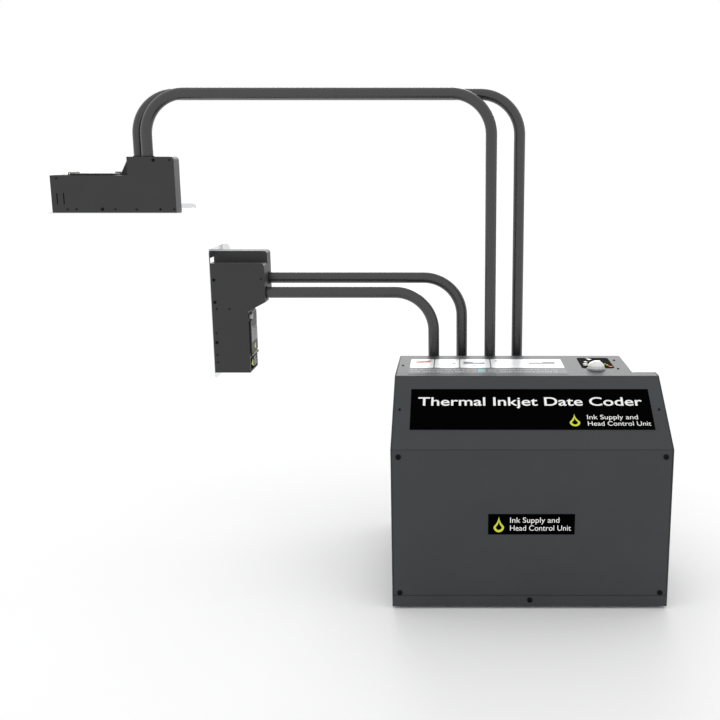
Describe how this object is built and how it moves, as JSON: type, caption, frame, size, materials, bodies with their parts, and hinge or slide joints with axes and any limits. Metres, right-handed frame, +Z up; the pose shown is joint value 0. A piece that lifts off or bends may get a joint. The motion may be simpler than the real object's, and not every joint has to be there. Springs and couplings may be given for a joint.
{
  "type": "date code inkjet printer",
  "caption": "Thermal inkjet date coder: a sloped steel ink and control cabinet with formed umbilical conduits carrying a downward and a sideways print head.",
  "frame": {"origin": "on the floor, at the centre of the cabinet's four mounting holes", "axes": "+X to the operator's right, +Y back from the operator, +Z up"},
  "size_m": [1.2109, 0.4691, 0.941],
  "materials": {
    "grey_powder_coat": "fine-textured powder coat",
    "grey_head_enamel": "dark grey enamel on cast aluminium",
    "conduit_sleeve": "smooth satin sleeve",
    "black_plastic": "moulded black plastic",
    "black_steel": "black oxide",
    "gloss_black_film": "printed polycarbonate film",
    "white_film": "printed vinyl film",
    "white_plastic": "moulded white plastic",
    "grey_plastic": "moulded light grey plastic",
    "led_lens": "tinted lens",
    "clear_plastic": "clear tube",
    "ink_bottle": "translucent polyethylene full of ink",
    "rubber": "moulded rubber",
    "bare_steel": "brushed",
    "nozzle_gold": "polished",
    "bar_plastic": "glass-filled plastic",
    "circuit_board": "solder mask",
    "ink_pump": "moulded",
    "port_metal": "plated shell"
  },
  "bodies": {
    "cabinet": {"base_pan": "grey_powder_coat", "bay_liner": "grey_powder_coat", "chassis_plate": "bare_steel", "conduit_1": "conduit_sleeve", "conduit_2": "conduit_sleeve", "conduit_3": "conduit_sleeve", "conduit_4": "conduit_sleeve", "conduit_glands": "black_plastic", "control_overlay": "gloss_black_film", "controller_board": "circuit_board", "cover_screws": "black_steel", "data_ports": "port_metal", "driver_boards": "circuit_board", "fan_frame": "black_plastic", "foot_pads": "rubber", "front_badge": "gloss_black_film", "front_cover": "grey_powder_coat", "gland_ledge": "grey_powder_coat", "head_screws": "black_steel", "ink_dock": "black_plastic", "ink_pumps": "ink_pump", "instruction_label": "white_film", "knob_ring": "grey_plastic", "left_side_panel": "grey_powder_coat", "lid_pins": "bare_steel", "lower_guide_plate": "bare_steel", "lower_print_bars": "bar_plastic", "lower_side_a_housing": "grey_head_enamel", "lower_side_b_housing": "grey_head_enamel", "name_plate": "gloss_black_film", "nozzle_plates": "nozzle_gold", "panel_screws": "black_steel", "power_inlet": "black_plastic", "power_supply": "bare_steel", "rear_panel": "grey_powder_coat", "right_side_panel": "grey_powder_coat", "selector_switch": "black_plastic", "sight_tube": "clear_plastic", "sloped_fascia": "grey_powder_coat", "status_leds": "led_lens", "top_panel": "grey_powder_coat", "tube_nuts": "black_plastic", "umbilical_lines": "rubber", "upper_guide_plate": "bare_steel", "upper_print_bars": "bar_plastic", "upper_side_a_housing": "grey_head_enamel", "upper_side_b_housing": "grey_head_enamel"},
    "selector_knob": {"selector_knob": "white_plastic"},
    "power_rocker": {"power_rocker": "black_plastic"},
    "fan_rotor": {"fan_rotor": "black_plastic"},
    "pump_rotor_low": {"pump_rotor_low": "grey_plastic"},
    "pump_rotor_high": {"pump_rotor_high": "grey_plastic"},
    "ink_container": {"ink_container": "ink_bottle", "container_cap": "black_plastic"},
    "upper_lid": {"upper_access_lid": "black_plastic"},
    "lower_lid": {"lower_access_lid": "black_plastic"},
    "upper_latch": {"upper_lid_latch": "grey_plastic"},
    "lower_latch": {"lower_lid_latch": "grey_plastic"},
    "upper_sleds": {"upper_capping_sleds": "rubber"},
    "lower_sleds": {"lower_capping_sleds": "rubber"}
  },
  "joints": [
    {"name": "knob_turn", "type": "hinge", "parent": "cabinet", "child": "selector_knob", "pos_m": [0.1395, 0.00335, 0.401], "axis": [0, 0, 1], "range_deg": [-135, 135]},
    {"name": "rocker_tip", "type": "hinge", "parent": "cabinet", "child": "power_rocker", "pos_m": [-0.205, 0.20725, 0.062], "axis": [1, 0, 0], "range_deg": [0, 16]},
    {"name": "fan_spin", "type": "hinge", "parent": "cabinet", "child": "fan_rotor", "pos_m": [0.095, 0.19425, 0.215], "axis": [0, 1, 0], "continuous": true},
    {"name": "low_pump_spin", "type": "hinge", "parent": "cabinet", "child": "pump_rotor_low", "pos_m": [0.1, 0.01875, 0.115], "axis": [0, 1, 0], "continuous": true},
    {"name": "high_pump_spin", "type": "hinge", "parent": "cabinet", "child": "pump_rotor_high", "pos_m": [0.1, 0.01875, 0.205], "axis": [0, 1, 0], "continuous": true},
    {"name": "container_slide", "type": "slide", "parent": "cabinet", "child": "ink_container", "axis": [1, 0, 0], "range_m": [0, 0.06]},
    {"name": "upper_lid_hinge", "type": "hinge", "parent": "cabinet", "child": "upper_lid", "pos_m": [-0.9115, 0.163, 0.7733], "axis": [0, -1, 0], "range_deg": [0, 100]},
    {"name": "lower_lid_hinge", "type": "hinge", "parent": "cabinet", "child": "lower_lid", "pos_m": [-0.5587, 0.163, 0.4008], "axis": [0, 1, 0], "range_deg": [0, 100]},
    {"name": "upper_latch_turn", "type": "hinge", "parent": "cabinet", "child": "upper_latch", "pos_m": [-0.8295, 0.1865, 0.773], "axis": [0, 0, 1], "range_deg": [0, 90]},
    {"name": "lower_latch_turn", "type": "hinge", "parent": "cabinet", "child": "lower_latch", "pos_m": [-0.559, 0.1395, 0.4828], "axis": [1, 0, 0], "range_deg": [0, 90]},
    {"name": "upper_sled_travel", "type": "slide", "parent": "cabinet", "child": "upper_sleds", "axis": [1, 0, 0], "range_m": [0, 0.118]},
    {"name": "lower_sled_travel", "type": "slide", "parent": "cabinet", "child": "lower_sleds", "axis": [0, 0, 1], "range_m": [0, 0.118]}
  ]
}
